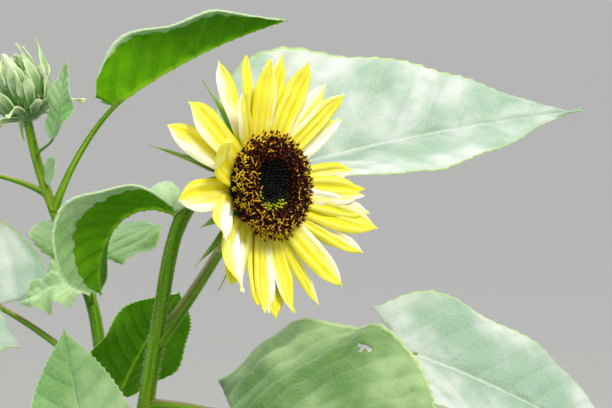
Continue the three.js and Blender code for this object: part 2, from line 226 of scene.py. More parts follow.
def tinted(tree, below, colour, value, low, high, least=0.0, most=1.0):
    """Lays a colour over the one below, by a share that goes smoothly from least to most as a value
    goes from low to high. Both colours are hex values or sockets."""
    share = add_node(
        tree, "ShaderNodeMapRange", {"interpolation_type": "SMOOTHSTEP"},
        {"Value": value, 1: low, 2: high, 3: least, 4: most},
    )
    below, colour = (linear(c) if isinstance(c, str) else c for c in (below, colour))
    return add_node(
        tree, "ShaderNodeMix", {"data_type": "RGBA"}, {0: share.outputs[0], 6: below, 7: colour}
    ).outputs[2]


def textured(tree, coordinates, spacing, detail=2.0, stretch=(1, 1, 1)):
    """Soft noise from 0 to 1 whose spots lie spacing millimetres apart on the coordinates."""
    mapping = add_node(
        tree, "ShaderNodeMapping", {}, {"Vector": coordinates, "Scale": [s / spacing for s in stretch]}
    )
    return add_node(
        tree, "ShaderNodeTexNoise", {}, {"Vector": mapping.outputs[0], "Scale": 1, "Detail": detail}
    ).outputs["Fac"]


def surfaced(tree, shader, colour, height, relief):
    """Gives the shader its colour, and raises the surface by a height, 0 to 1, times a relief in
    millimetres."""
    bump = add_node(
        tree, "ShaderNodeBump", {}, {"Height": height, "Distance": relief * MM, "Strength": 1}
    )
    tree.links.new(colour, shader.inputs["Base Color"])
    tree.links.new(bump.outputs[0], shader.inputs["Normal"])


# Living stem skin: a thin waxy rind over wet green pith, so a soft shine, light that soaks in a
# little, and paler strands a millimetre or two apart that run the whole way up. Leaf stalks have the
# same rind, and are flushed pinkish brown along their sunny upper side.
def stem_skin(name, deep, pale, flush):
    material, tree, shader = new_material(
        name, Roughness=0.5, IOR=1.35, Subsurface_Weight=0.15, Subsurface_Scale=0.002,
        Specular_IOR_Level=0.3,
    )
    straight = add_node(tree, "ShaderNodeAttribute", {"attribute_name": "straight"}, {})
    blush = add_node(tree, "ShaderNodeAttribute", {"attribute_name": "blush"}, {})
    strands = textured(tree, straight.outputs["Vector"], 1.6, 3, (1, 1, 0.03))
    patches = textured(tree, straight.outputs["Vector"], 30, 3, (1, 1, 0.4))
    specks = textured(tree, straight.outputs["Vector"], 0.7, 1, (1, 1, 0.4))
    green = tinted(tree, deep, pale, strands, 0.35, 0.7)
    flushed = tinted(tree, green, flush, patches, 0.5, 0.75, 0, 0.7)
    speckled = tinted(tree, flushed, "#a8c850", specks, 0.62, 0.72, 0, 0.25)
    sunned = tinted(tree, speckled, "#b58f7c", blush.outputs["Fac"], 0.35, 1, 0, 0.75)
    surfaced(tree, shader, sunned, strands, 0.2)
    return material


stem_green = stem_skin("stem_rind", "#467600", "#74a20c", "#84961a")


def limb_piece(name, sides, rings, axis, radius_at):
    """A limb along its axis, in the stem's skin."""
    shape = bmesh.new()
    add_cylinder(shape, sides, rings)
    mesh = mesh_of(name, shape)
    places, straight, _ = limb_places(points_of(mesh), axis, radius_at)
    made = piece(mesh, places, stem_green)
    mark(made.data, "straight", straight)
    return made


bloom_axes = blade_axes(BLOOM_HEADING, BLOOM_PITCH, 0)
neck = BLOOM_CENTRE - bloom_axes[0] * NECK_DEPTH - (0, 0, NECK_SAG)
stem_end = BLOOM_CENTRE - bloom_axes[0] * RECEPTACLE_DEPTH
stem_axis = smooth_axis([*STEM_POINTS, neck, stem_end])


def share_at(axis, height):
    """The share of an upright limb's length at which it passes a height."""
    return np.interp(height, axis[:, 2], np.linspace(0, 1, len(axis)))


# The height and azimuth of each leaf on the main stem, which swells just below the leaf's foot
stem_nodes = []
STEM_LENGTH = 1190
NODE_DROP = 5
NODE_RUN = 9
NODE_SWELL = 0.2


def stem_radius(share, angle, outward):
    plain = lerp(STEM_FOOT_RADIUS, STEM_TOP_RADIUS, share) + FLARE * np.exp(-share / FLARE_RUN)
    ribbed = 1 + RIB_RISE * np.cos(RIBS * angle + 1.5 * np.sin(9 * share))
    swollen = np.zeros_like(share)
    for height, azimuth in stem_nodes:
        away = (share - share_at(stem_axis, height - NODE_DROP)) * STEM_LENGTH
        facing = outward @ (*cos_sin(azimuth), 0)
        swollen += NODE_SWELL * np.exp(-((away / NODE_RUN) ** 2)) * (0.6 + 0.4 * facing)
    return plain * ribbed * (1 + swollen)


# Leaves. Each is a thin blade on a juicy stalk that springs from the limb. azimuth and rise place
# the blade's base from the limb's axis at a height, stalk away; spring and swing turn the stalk's
# foot; turn, pitch and roll set the blade. droop bends the midrib, fold raises both halves.
# rolled is the share of one half, the left if above zero, whose margin is rolled over below. tear
# is a hole: its place along and across the blade, each from 0 to 1, and its reach both ways.
LEAF = dict(
    spring=15, swing=0, heart=1, widest=0.27, taper=1.25, belly=1.6, droop=20, fold=20,
    unfold=0.3, cup=6, wave=3, ripples=2, teeth=0.9, pucker=0.009, crumple=0, rolled=0,
    tear=None,
)
STEM_LEAVES = {
    "leaf_neck": dict(
        LEAF, height=1136, azimuth=-119, rise=-14, stalk=16, turn=-96, pitch=20, roll=6,
        length=82, half=33, droop=130, fold=42, unfold=0.2, cup=6, heart=0.3, widest=0.45,
        teeth=0.6, rolled=0.34,
    ),
    "leaf_behind_bloom": dict(
        LEAF, height=1062, azimuth=50.7, rise=38, spring=7, swing=-25, stalk=135,
        turn=-47, pitch=15, roll=38, length=176, half=68, droop=12, fold=40, unfold=0.9,
        cup=2, widest=0.16, taper=1.6, belly=1.4, teeth=1.2,
    ),
    "leaf_front_right": dict(
        LEAF, height=1029, azimuth=-22, rise=0, stalk=51, turn=-28, pitch=17, roll=26,
        length=126, half=65, droop=42, fold=22, widest=0.35, pucker=0.014, crumple=2.2,
        tear=(0.43, 0.79, 0.034, 0.045),
    ),
    "leaf_front_left": dict(
        LEAF, height=950, azimuth=225, rise=40, stalk=22, turn=-50, pitch=80, roll=-80,
        length=108, half=34, droop=10, fold=24, heart=0.5,
    ),
    "leaf_right": dict(
        LEAF, height=955, azimuth=17.7, rise=30.5, stalk=182, turn=-19, pitch=-20, roll=34,
        length=140, half=46, droop=16, fold=22,
    ),
}
BRANCH_LEAVES = {
    "branch_leaf_high": dict(
        LEAF, height=1114, azimuth=14, rise=60, stalk=72, turn=-8, pitch=36, roll=-30,
        length=116, half=34, droop=22, fold=60, unfold=0.6, heart=0.6, teeth=0.4, rolled=-0.14,
    ),
    "branch_leaf_bud": dict(
        LEAF, height=1147, azimuth=-56, rise=26, stalk=27, turn=41, pitch=75, roll=65,
        length=48, half=12, droop=-8, fold=40, heart=0,
    ),
    "branch_leaf_small": dict(
        LEAF, height=1127, azimuth=-60, rise=40, stalk=5, turn=40, pitch=70, roll=55,
        length=18, half=8, droop=-10, fold=30, cup=1, wave=0.5, heart=0.2, widest=0.4, teeth=0.3,
    ),
    "branch_leaf_outer": dict(
        LEAF, height=1124, azimuth=175, rise=20, stalk=36, turn=8, pitch=10, roll=-25,
        length=96, half=32, droop=30, fold=16, heart=0.4,
    ),
    "branch_leaf_low": dict(
        LEAF, height=1012, azimuth=165, rise=35, stalk=82, turn=6, pitch=24, roll=-46,
        length=125, half=50, droop=26, fold=18,
    ),
    "branch_leaf_inner": dict(
        LEAF, height=1000, azimuth=0, rise=60, stalk=13, turn=10, pitch=66, roll=-60,
        length=72, half=32, droop=20, fold=14, heart=0.3,
    ),
    "branch_leaf_curled": dict(
        LEAF, height=1057, azimuth=265, rise=52, stalk=22, turn=-79, pitch=10, roll=-35,
        length=46, half=19, droop=70, fold=24, wave=6, ripples=3, heart=0.6, teeth=1.2, pucker=0.006,
        crumple=6,
    ),
    "branch_leaf_back": dict(
        LEAF, height=1060, azimuth=95, rise=30, stalk=45, turn=0, pitch=15, roll=0,
        length=110, half=44, droop=35, fold=18,
    ),
}

# Lower leaves climb the stem by the golden angle and are largest near its middle
GOLDEN_ANGLE = 137.5
LOWER_LEAF_COUNT = 14
LOWEST_LEAF = 150
LEAF_SPACING = 57
FIRST_AZIMUTH = 200
LONGEST_LEAF = 230


def lower_leaf(i):
    climb = i / (LOWER_LEAF_COUNT - 1)
    length = LONGEST_LEAF * (1 - 0.9 * (climb - 0.42) ** 2)
    return dict(
        LEAF, height=LOWEST_LEAF + LEAF_SPACING * i, azimuth=FIRST_AZIMUTH + GOLDEN_ANGLE * i,
        rise=lerp(22, 38, climb), stalk=length * 0.5, turn=6 * math.sin(2.4 * i),
        pitch=lerp(-6, 14, climb), roll=7 * math.sin(1.7 * i), length=length, half=length * 0.41,
        droop=lerp(52, 34, climb), wave=4, teeth=1.4,
    )


STEM_LEAVES |= {f"stem_leaf_{i + 1:02d}": lower_leaf(i) for i in range(LOWER_LEAF_COUNT)}
stem_nodes += [(leaf["height"], leaf["azimuth"]) for leaf in STEM_LEAVES.values()]

# The stem starts a little below the ground, and is cut flat at its level
stem = limb_piece("stem_rind", RIBS * 5, 420, stem_axis, stem_radius)
stem_cut = bmesh.new()
stem_cut.from_mesh(stem.data)
cut = bmesh.ops.bisect_plane(
    stem_cut, geom=[*stem_cut.verts, *stem_cut.edges, *stem_cut.faces], plane_co=(0, 0, 0),
    plane_no=(0, 0, 1), clear_inner=True,
)
foot_edges = [e for e in cut["geom_cut"] if isinstance(e, bmesh.types.BMEdge)]
bmesh.ops.contextual_create(stem_cut, geom=foot_edges)
stem_cut.to_mesh(stem.data)
stem_cut.free()
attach(stem, "root")
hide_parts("stem")

# Side branch. A thinner stem of the same make that leaves the main one low down in a leaf's angle,
# bows out behind and ends in the bud.
BRANCH_POINTS = [
    (62, -5, 925), (52, 50, 965), (39, 92, 1015), (31, 106, 1060), (14, 113, 1100), (0, 118, 1138),
    (-8, 123, 1169),
]
BRANCH_FOOT_RADIUS = 5
BRANCH_TOP_RADIUS = 2.6
BRANCH_RIBS = 8
branch_axis = smooth_axis(BRANCH_POINTS)


def branch_radius(share, angle, outward):
    ribbed = 1 + RIB_RISE * np.cos(BRANCH_RIBS * angle)
    return lerp(BRANCH_FOOT_RADIUS, BRANCH_TOP_RADIUS, share) * ribbed


branch = limb_piece("branch_rind", 40, 120, branch_axis, branch_radius)
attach(branch, "root")
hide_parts("side_branch")

# Leaf blades and stalks. The blade is 0.6 mm of soft tissue, thinner to its edge, quilted between
# side veins that leave the midrib every couple of centimetres. The veins are sunk in its upper face
# and stand out below, and its edge is cut into forward teeth.
TISSUE = 0.6
TIP_VEIN_ANGLE = 45
TIP_SHARE = 0.015
TOOTH_ROWS = 4
ROLLED_NOTCHES = 28
ROLL_THICKNESS = 0.8
# A wedge-shaped and a heart-shaped foot: the share of the half width there, and the angle at which
# the rows leave the midrib, in degrees
WEDGE_FOOT = (0.16, 78)
HEART_FOOT = (0.45, 140)
# The columns of a blade crowd towards its midrib
COLUMN_CROWDING = 1.35
SIDE_VEIN_ANGLE = math.radians(58)
SIDE_VEIN_SWEEP = 0.2
SIDE_VEIN_COUNT = 8
SIDE_VEIN_WIDTH = 0.9
# Those on the left leave the midrib this share of a spacing sooner
SIDE_VEIN_SHIFT = 0.42
VEIN_SUNK = 0.35
VEIN_RAISED = 0.55
MIDRIB_SUNK = 0.4
# A stalk's radius in its blade's lengths, its share of that at its foot and at the blade, and the
# swelling by which it sits on the limb
STALK_SHARE = 0.017
STALK_TAPER = (1.15, 0.75)
STALK_SWELL = 0.45


def add_plate(bm, rows, columns):
    """Adds a closed plate one unit long, wide and thick, with a grid on its two faces."""
    made = bmesh.ops.create_grid(bm, x_segments=rows, y_segments=columns, size=0.5)
    sheet = list({f for v in made["verts"] for f in v.link_faces})
    raised = bmesh.ops.extrude_face_region(bm, geom=sheet, use_keep_orig=True)
    upper = [v for v in raised["geom"] if isinstance(v, bmesh.types.BMVert)]
    bmesh.ops.translate(bm, verts=upper, vec=(0, 0, 0.5))
    bmesh.ops.translate(bm, verts=made["verts"], vec=(0, 0, -0.5))
    for face in sheet:
        face.material_index = 1


def leaf_outline(s, q, leaf, rows):
    """The flat blade's own coordinates. Rows run out along the veins, back into the heart's lobes
    and forwards near the tip, and four rows make a tooth."""
    foot_share, foot_angle = (lerp(a, b, leaf["heart"]) for a, b in zip(WEDGE_FOOT, HEART_FOOT))
    rising = foot_share + (1 - foot_share) * (1 - (1 - s / leaf["widest"]).clip(0) ** 3)
    past = ((s - leaf["widest"]) / (1 - leaf["widest"])).clip(0, 1)
    falling = np.maximum(TIP_SHARE, (1 - past**leaf["belly"]) ** leaf["taper"])
    share = np.where(s < leaf["widest"], rising, falling)
    angle = np.radians(lerp(foot_angle, TIP_VEIN_ANGLE, np.sqrt(s)))
    tooth = (np.round(s * rows) % TOOTH_ROWS) / (TOOTH_ROWS - 1) - 1
    cut = leaf["teeth"] * tooth * np.abs(q) ** 12 * np.minimum(1, share * 2)
    side = (leaf["half"] * share + cut) * np.abs(q)
    return s * leaf["length"] + side / np.tan(angle), side * np.sign(q)


def rolled_over(s, q, leaf):
    """Where a blade's margin is rolled over, so that its upper face shows from below."""
    width = abs(leaf["rolled"]) * np.sin(np.pi * s.clip(0, 1)) ** 0.5
    width -= 0.03 * (np.round(s * ROLLED_NOTCHES) % 2)
    return (q * np.sign(leaf["rolled"]) > 1 - width) & (width > 0.03)


def roughened(x, y, spacing, seed):
    """Smooth noise from -1 to 1 at points of a flat blade."""
    return np.array([
        noise.noise((a / spacing, b / spacing, seed)) for a, b in zip(x.tolist(), y.tolist())
    ])


def blade_places(x, y, lift, base, axes, form):
    """Bends a flat blade: folds it along its midrib and droops it along its length."""
    along, across, up = axes
    bend = math.radians(form["droop"] or 0.01) / form["length"]
    angle = bend * x
    fold = math.radians(form["fold"]) * (1 - form["unfold"] * x / form["length"])
    rise = np.abs(y) * np.sin(fold) + lift
    forward = np.sin(angle) / bend + np.sin(angle) * rise
    upward = (np.cos(angle) - 1) / bend + np.cos(angle) * rise
    sideways = y * np.cos(fold)
    return base + np.outer(forward, along) + np.outer(upward, up) + np.outer(sideways, across)


def bezier_axis(a, b, c, d):
    t = np.linspace(0, 1, 120)[:, None]
    return evenly(a * (1 - t) ** 3 + 3 * b * t * (1 - t) ** 2 + 3 * c * t**2 * (1 - t) + d * t**3, 61)


def turned_up(places, azimuth, origin):
    """Turns places about the vertical by the azimuth and moves them to the origin."""
    c, s = cos_sin(azimuth)
    return places @ np.array([(c, s, 0), (-s, c, 0), (0, 0, 1)]) + origin


def torn(mesh, s, across, tear):
    """Tears a hole through both faces of a blade and closes its edge."""
    at, beside, reach, breadth = tear
    inside = np.hypot((s - at) / reach, (across - beside) / breadth) < 1
    inside = set(np.flatnonzero(inside).tolist())
    bm = bmesh.new()
    bm.from_mesh(mesh)
    lost = [face for face in bm.faces if all(v.index in inside for v in face.verts)]
    bmesh.ops.delete(bm, geom=lost, context="FACES")
    bmesh.ops.bridge_loops(bm, edges=[edge for edge in bm.edges if edge.is_boundary])
    bm.to_mesh(mesh)
    bm.free()


def blade_relief(leaf, x, y, s, q, number):
    """The heights of a blade's upper and lower faces over its flat form, and how many side veins
    past its foot each point lies."""
    length, half = leaf["length"], leaf["half"]
    scale = min(1, length / 80)
    edge = np.abs(y) / half
    spacing = length / SIDE_VEIN_COUNT
    phase = (x - np.abs(y) / math.tan(SIDE_VEIN_ANGLE) - SIDE_VEIN_SWEEP * y**2 / half) / spacing
    phase += SIDE_VEIN_SHIFT * (y > 0) + 20 + 0.16 * roughened(x, y, 30, number + 0.3)
    from_vein = np.abs((phase + 0.5) % 1 - 0.5) * spacing
    side_vein = np.exp(-((from_vein / SIDE_VEIN_WIDTH) ** 2)) * scale
    side_vein *= np.clip(1.1 - np.abs(q), 0, 1)
    rib = lerp(length * STALK_SHARE * 0.7, 0.4, s**0.7)
    midrib = np.sqrt(np.clip(1 - (y / rib) ** 2, 0, 1))
    inner = np.clip(np.abs(y) / (rib * 3), 0, 1) * np.clip((1 - np.abs(q)) * 6, 0, 1)
    quilt = np.sin(np.pi * np.clip(from_vein / (spacing / 2), 0, 1) / 2) ** 0.8
    ripple = np.sin(leaf["ripples"] * 2 * np.pi * x / length + np.sign(y))
    lift = leaf["wave"] * edge**2 * ripple - leaf["cup"] * edge**2
    lift += length * leaf["pucker"] * quilt * inner
    uneven = 1.6 * roughened(x, y, 24, number) * np.minimum(1, edge * 4)
    uneven += 45 * leaf["pucker"] * roughened(x, y, 7, number + 0.5) * np.minimum(1, edge * 6)
    uneven += 2.6 * roughened(x, y, 26, number + 0.8) * np.abs(q) ** 3
    crumpled = leaf["crumple"] * roughened(x, y, 13, number + 0.1) * np.minimum(1, edge * 3)
    lift += scale * uneven + crumpled
    half_tissue = TISSUE / 2 * (1 - 0.5 * np.abs(q) ** 4)
    upper = lift + half_tissue - VEIN_SUNK * side_vein - MIDRIB_SUNK * midrib
    lower = lift - half_tissue - VEIN_RAISED * side_vein - rib * 0.9 * midrib
    return upper, lower, phase


def leaf_piece(node, leaf, limb_axis, rows, columns, number, materials):
    """One leaf: its blade's two faces and its stalk, in one mesh of three materials."""
    shape = bmesh.new()
    add_plate(shape, rows, columns)
    blade_count = len(shape.verts)
    plate_faces = len(shape.faces)
    add_cylinder(shape, 16, 40)
    shape.faces.ensure_lookup_table()
    for face in shape.faces[plate_faces:]:
        face.material_index = 2
    centres = np.array([face.calc_center_median() for face in shape.faces[:plate_faces]])
    for i in np.flatnonzero(rolled_over(centres[:, 0] + 0.5, centres[:, 1] * 2, leaf)):
        shape.faces[i].material_index = 0
    mesh = mesh_of(node + "_blade", shape)
    unit = points_of(mesh)
    plate, rod = unit[:blade_count], unit[blade_count:]

    s = plate[:, 0] + 0.5
    across = plate[:, 1] * 2
    q = np.sign(across) * np.abs(across) ** COLUMN_CROWDING
    x, y = leaf_outline(s, q, leaf, rows)
    upper, lower, phase = blade_relief(leaf, x, y, s, q, number)
    lower -= ROLL_THICKNESS * rolled_over(s, across, leaf)
    out, up = cos_sin(leaf["rise"])
    end = np.array((out, 0, up)) * leaf["stalk"]
    axes = blade_axes(leaf["turn"], leaf["pitch"], leaf["roll"])
    blade = blade_places(x, y, np.where(plate[:, 2] > 0, upper, lower), end, axes, leaf)

    springs = blade_axes(leaf["swing"], leaf["rise"] + leaf["spring"], 0)[0]
    axis = bezier_axis(
        np.zeros(3), springs * leaf["stalk"] / 3, end - axes[0] * leaf["stalk"] * 0.15,
        end + axes[0] * leaf["length"] * 0.06,
    )
    thick = leaf["length"] * STALK_SHARE

    def stalk_radius(share, angle, outward):
        foot = STALK_SWELL * np.exp(-share * leaf["stalk"] / NODE_RUN)
        groove = 0.2 * np.clip(outward[:, 2], 0, 1) ** 4
        ribbed = 0.03 * np.cos(7 * angle)
        return thick * lerp(*STALK_TAPER, share) * (1 + foot - groove + ribbed)

    stalk, straight, outward = limb_places(rod, axis, stalk_radius)
    origin = along_table(limb_axis, np.array([share_at(limb_axis, leaf["height"])]))
    places = turned_up(np.vstack([blade, stalk]), leaf["azimuth"], origin)
    made = piece(mesh, places, *materials)
    flat = np.stack([x, y, np.full_like(x, number * 300)], axis=1)
    mark(made.data, "straight", np.vstack([flat, straight]))
    marks = {"phase": phase, "from_midrib": np.abs(y), "to_tip": s, "margin": np.abs(q)}
    for name, values in marks.items():
        mark(made.data, name, np.append(values, np.zeros(len(rod))))
    mark(made.data, "blush", np.append(np.zeros(len(x)), outward[:, 2].clip(0)))
    if leaf["tear"]:
        torn(made.data, s, across, leaf["tear"])
    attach(made, "root")
    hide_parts(node)
    return made, turned_up(axis, leaf["azimuth"], origin), thick


# Leaf skin. Soft tissue under a thin matt wax and short down: dull and greyish above, bright and
# yellower below, with faint paler veins and a thin hem. Light soaks through, so the dark side glows.
# The net of small veins is really a millimetre across, and is drawn 4 mm across to show.
NET_SPACING = 4


def leaf_skin(name, deep, pale, vein, vein_share, relief, down, hem, painted_valley_shade=0.5, shine=0.5):
    material, tree, shader = new_material(
        name, Roughness=0.55, IOR=1.35, Subsurface_Weight=0.3, Subsurface_Scale=0.0015,
        Subsurface_Radius=(0.7, 1.0, 0.2), Sheen_Weight=down, Sheen_Roughness=0.5,
        Specular_IOR_Level=shine,
    )
    flat = add_node(tree, "ShaderNodeAttribute", {"attribute_name": "straight"}, {}).outputs["Vector"]
    phase, away, to_tip, margin = (
        add_node(tree, "ShaderNodeAttribute", {"attribute_name": read}, {}).outputs["Fac"]
        for read in ("phase", "from_midrib", "to_tip", "margin")
    )
    smooth = {"interpolation_type": "SMOOTHSTEP"}
    folded = add_node(
        tree, "ShaderNodeMath", {"operation": "PINGPONG"}, {0: phase, 1: 0.5}
    ).outputs[0]
    side_vein = add_node(
        tree, "ShaderNodeMapRange", smooth,
        {"Value": folded, 1: 0.004, 2: 0.035, 3: vein_share, 4: 0},
    )
    rib_width = add_node(tree, "ShaderNodeMapRange", smooth, {"Value": to_tip, 3: 1.6, 4: 0.3})
    rib_share = add_node(
        tree, "ShaderNodeMath", {"operation": "DIVIDE"}, {0: away, 1: rib_width.outputs[0]}
    )
    midrib = add_node(
        tree, "ShaderNodeMapRange", smooth,
        {"Value": rib_share.outputs[0], 1: 0.4, 2: 1.1, 3: 0.75, 4: 0},
    )
    veins = add_node(
        tree, "ShaderNodeMath", {"operation": "MAXIMUM"},
        {0: side_vein.outputs[0], 1: midrib.outputs[0]},
    )
    cells = add_node(
        tree, "ShaderNodeMapping", {}, {"Vector": flat, "Scale": (1 / NET_SPACING,) * 3}
    )
    net = add_node(
        tree, "ShaderNodeTexVoronoi", {"feature": "DISTANCE_TO_EDGE"},
        {"Vector": cells.outputs[0], "Scale": 1},
    ).outputs[0]
    clouds = textured(tree, flat, 38, 3)
    flecks = textured(tree, flat, 9, 3)
    grain = textured(tree, flat, 1.0, 2)
    tissue = tinted(tree, deep, pale, clouds, 0.34, 0.66)
    flecked = tinted(tree, tissue, deep, flecks, 0.45, 0.75, 0, 0.35)
    # Painted shade: the tissue darkens towards the deep colour along the sunk side veins, as if they
    # lay in shadow
    shaded = tinted(tree, flecked, deep, folded, 0.03, 0.32, painted_valley_shade, 0)
    grained = tinted(tree, shaded, pale, grain, 0.35, 0.7, 0, 0.3)
    netted = tinted(tree, grained, vein, net, 0.02, 0.14, vein_share * 0.3, 0)
    veined = add_node(
        tree, "ShaderNodeMix", {"data_type": "RGBA"},
        {0: veins.outputs[0], 6: netted, 7: linear(vein)},
    ).outputs[2]
    hemmed = tinted(tree, veined, hem, margin, 0.96, 0.985, 0, 0.8)
    swell = add_node(
        tree, "ShaderNodeMath", {"operation": "MULTIPLY_ADD"}, {0: grain, 1: 0.5, 2: net}
    )
    surfaced(tree, shader, hemmed, swell.outputs[0], relief)
    return material


# Each skin's name, its deep, pale and vein colours, how strongly the veins show, the net's relief in
# millimetres, its down, and its hem's colour, with the strength of its painted shade along the sunk
# side veins and its shine
# The five tops are one grey-green leaf skin in five tints: pale is painted sunlight, grey and mild are
# painted part light, green and deep are painted shade
SKINS = [
    ("leaf_underside", "#377200", "#63a000", "#84b010", 0.3, 0.35, 0, "#a3c46a", 0.5, 0.2),
    ("leaf_top_painted_sunlit", "#86a88e", "#cbd1cf", "#d4dad3", 0.1, -0.3, 0.2, "#a9cc78", 0.25),
    ("leaf_top_mild", "#547f3e", "#98b37f", "#a6c08c", 0.05, -0.6, 0.15, "#b8cf94", 0.25, 0.3),
    ("leaf_top_grey", "#669a50", "#aecb94", "#bcd3a6", 0.15, -0.4, 0.25, "#c4d8b0", 0.3),
    ("leaf_top_painted_shade", "#437a28", "#6f9c4c", "#8db36a", 0.35, -0.5, 0.15, "#a4c468"),
    ("leaf_top_painted_deep_shade", "#336a1e", "#548438", "#7ba455", 0.4, -0.5, 0.15, "#86ac50"),
]
underside, sunlit_top, mild_top, banded_top, shaded_top, deep_shade_top = (
    leaf_skin(*skin) for skin in SKINS
)
stalk_rind = stem_skin("leaf_stalk_rind", "#4a7a04", "#82aa20", "#98a432")

# Each leaf in view gets the top tint of its painted light or shade; the lower leaves get the deep
# painted-shade tint
LEAF_TOPS = {
    "leaf_neck": banded_top,
    "leaf_behind_bloom": sunlit_top,
    "leaf_front_right": mild_top,
    "leaf_front_left": banded_top,
    "leaf_right": sunlit_top,
    "branch_leaf_high": banded_top,
    "branch_leaf_bud": banded_top,
    "branch_leaf_small": banded_top,
    "branch_leaf_outer": sunlit_top,
    "branch_leaf_low": sunlit_top,
    "branch_leaf_inner": sunlit_top,
    "branch_leaf_curled": banded_top,
    "branch_leaf_back": shaded_top,
}
stalks = []
for limb_axis, leaves in ((stem_axis, STEM_LEAVES), (branch_axis, BRANCH_LEAVES)):
    for node, leaf in leaves.items():
        rows, columns = (112, 64) if node in LEAF_TOPS else (80, 40)
        skins = (LEAF_TOPS.get(node, deep_shade_top), underside, stalk_rind)
        made, axis, thick = leaf_piece(node, leaf, limb_axis, rows, columns, len(stalks), skins)
        stalks.append((axis, thick))

# Bloom. A hollow green cup swells out of the neck and carries two rows of green bracts, a ring of
# 28 pleated yellow rays and the disc. Everything on it is set round the axis that the face looks
# along, with the clock's 0 at the right and 90 at the top.
GREEN_CUP = [
    (0, -27), (4.4, -27), (5.5, -26.3), (8, -24.5), (15, -20.5), (23, -15), (26, -10), (26, -8.5),
    (24, -7.6), (0, -7.6),
]
BRACT_ROOT = 21
BRACT_DEPTHS = (-11, -14)
BRACT_TISSUE = 0.6
BRACT_GRID = (28, 8)
TONGUE = dict(droop=0, fold=10, unfold=0, lumps=0)


def bloom_places(local):
    """From the bloom's own coordinates, across, up and along, to the plant's."""
    along, across, up = bloom_axes
    return local @ np.array((across, up, along)) + BLOOM_CENTRE


def turned(profile, steps, smooth=0):
    """A profile of radius and height pairs turned about Z, closed at its poles, as a bmesh. smooth
    is how many rings are added between two pairs."""
    bm = bmesh.new()
    corners = [bm.verts.new((r, 0, h)) for r, h in profile]
    edges = [bm.edges.new(pair) for pair in zip(corners, corners[1:])]
    if smooth:
        bmesh.ops.subdivide_edges(bm, edges=edges, cuts=smooth)
    bmesh.ops.spin(
        bm, geom=[*bm.verts, *bm.edges], angle=2 * math.pi, steps=steps, axis=(0, 0, 1),
        cent=(0, 0, 0), use_merge=True,
    )
    bmesh.ops.remove_doubles(bm, verts=bm.verts[:], dist=0.001)
    return bm


def turned_piece(name, profile, steps, smooth, place, *materials):
    mesh = mesh_of(name, turned(profile, steps, smooth))
    local = points_of(mesh)
    made = piece(mesh, place(local), *materials)
    mark(made.data, "straight", local)
    return made


def tongue_places(plate, clock, lean, lift, root, height, form):
    """Carries a unit plate's points onto a tongue that springs from the bloom's axis. form has its
    length, half, thick, outline, pleats, pleat height, twist, crimp and the blade's bends."""
    s = plate[:, 0] + 0.5
    q = plate[:, 1] * 2
    upper = np.sign(plate[:, 2])
    x, share = form["outline"](s, q)
    y = form["half"] * share * q
    edge = np.abs(q)
    rise = -form.get("cup", 0) * edge**2 + upper * form["thick"] / 2 * (1 - 0.4 * edge**4)
    pleats = np.cos(form["pleats"] * math.pi * q) * np.sin(math.pi * s.clip(0, 0.93))
    rise += form["pleat"] * share * pleats
    rise += form["crimp"] * edge**2 * np.sin(9 * s + 2 * np.sign(q) + form["number"]) * s
    if form["lumps"]:
        rise += form["lumps"] * s * roughened(x * form["length"], y, 9, form["number"] + 0.5)
    turn = np.radians(form["twist"]) * s**1.5
    side = y * np.cos(turn) - rise * np.sin(turn)
    rise = y * np.sin(turn) + rise * np.cos(turn)
    right, top = cos_sin(clock)
    foot = np.array((root * right, root * top, height))
    fold = math.radians(form["fold"])
    rise = rise + np.abs(side) * math.sin(fold)
    bent = dict(droop=form["droop"], length=form["length"], fold=0, unfold=0)
    axes = blade_axes(clock + lean, lift, 0)
    x = x * form["length"]
    flat = np.stack([x, y, np.full_like(x, form["number"] * 50)], axis=1)
    return blade_places(x, side * math.cos(fold), rise, foot, axes, bent), flat


def tongue_outline(foot, widest, sharpness, drawn=1.0):
    """From a foot to the widest place, and then to a point, which a larger drawn makes threadlike.
    Gives the length share and the width share."""
    def outline(s, q):
        past = ((s - widest) / (1 - widest)).clip(0, 1)
        opening = lerp(foot, 1, np.sin((s / widest).clip(0, 1) * math.pi / 2))
        return s, np.where(s < widest, opening, np.maximum(0.04, (1 - past**sharpness) ** drawn))
    return outline


def tongues_piece(name, plates, rows, columns, *materials, place=bloom_places):
    """Many tongues in one mesh, and their unit points. Each of plates is a function of a tongue's
    unit points and gives its places and its flattened coordinates."""
    bm = bmesh.new()
    for _ in plates:
        add_plate(bm, rows, columns)
    for face in bm.faces:
        face.material_index = 0
    mesh = mesh_of(name, bm)
    unit = points_of(mesh).reshape(len(plates), -1, 3)
    shaped = [plate(points) for plate, points in zip(plates, unit)]
    made = piece(mesh, place(np.vstack([places for places, _ in shaped])), *materials)
    mark(made.data, "straight", np.vstack([flat for _, flat in shaped]))
    mark(made.data, "to_tip", unit[:, :, 0].ravel() + 0.5)
    mark(made.data, "margin", np.abs(unit[:, :, 1].ravel() * 2))
    return made, unit


